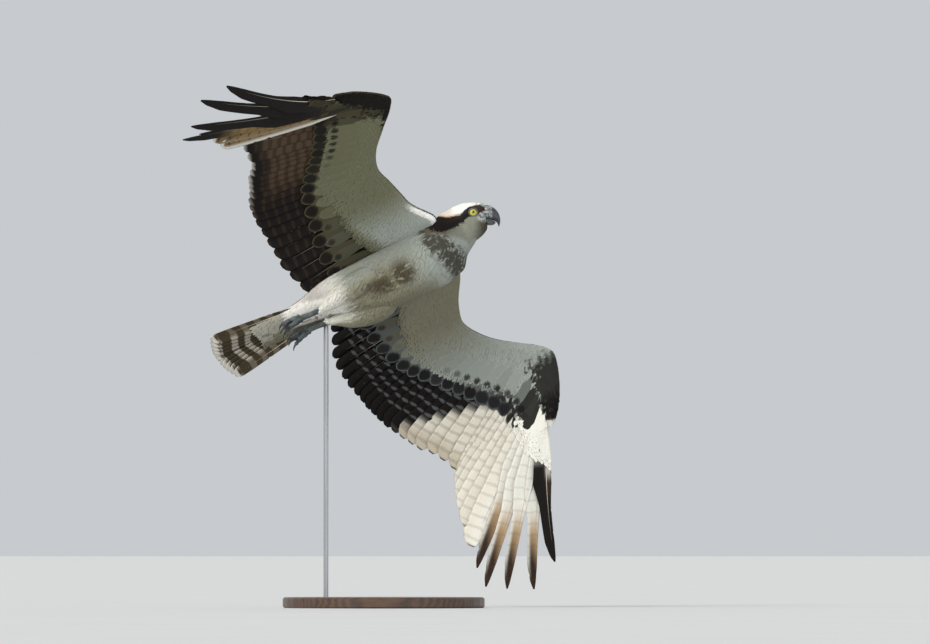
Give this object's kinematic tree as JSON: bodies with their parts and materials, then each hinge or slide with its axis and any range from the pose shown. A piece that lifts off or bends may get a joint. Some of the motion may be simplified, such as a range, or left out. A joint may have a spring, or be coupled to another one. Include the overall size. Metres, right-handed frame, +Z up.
{
  "type": "osprey",
  "caption": "Life-size osprey banking in flight with its wings bowed and legs tucked back, a still museum model held by a rod on a round display base.",
  "frame": {"origin": "centre of the underside of the stand's round base", "axes": "+Z up; the bird flies towards +X, a little towards -Y, and banks with its left wing down, so its underside faces -Y"},
  "size_m": [0.7021, 0.7841, 0.9624],
  "materials": {
    "plumage": "soft matt feathers, white below and dark brown above, barred on the wings and tail",
    "horn": "smooth black horn with a soft gloss",
    "eye": "glossy yellow iris with a black pupil",
    "foot_skin": "rough scaly blue-grey skin",
    "stand_wood": "dark stained wood with a satin varnish",
    "stand_steel": "fine brushed steel"
  },
  "bodies": {
    "root": {"bill_lower": "horn", "bill_upper": "horn", "claw_left_1": "horn", "claw_left_2": "horn", "claw_left_3": "horn", "claw_left_4": "horn", "claw_right_1": "horn", "claw_right_2": "horn", "claw_right_3": "horn", "claw_right_4": "horn", "eye_left": "eye", "eye_right": "eye", "foot_left": "foot_skin", "foot_right": "foot_skin", "head": "plumage", "neck": "plumage", "stand_base": "stand_wood", "stand_rod": "stand_steel", "tail": "plumage", "thigh_left": "plumage", "thigh_right": "plumage", "torso": "plumage", "wing_arm_left": "plumage", "wing_arm_right": "plumage", "wing_hand_left": "plumage", "wing_hand_right": "plumage"}
  },
  "joints": []
}
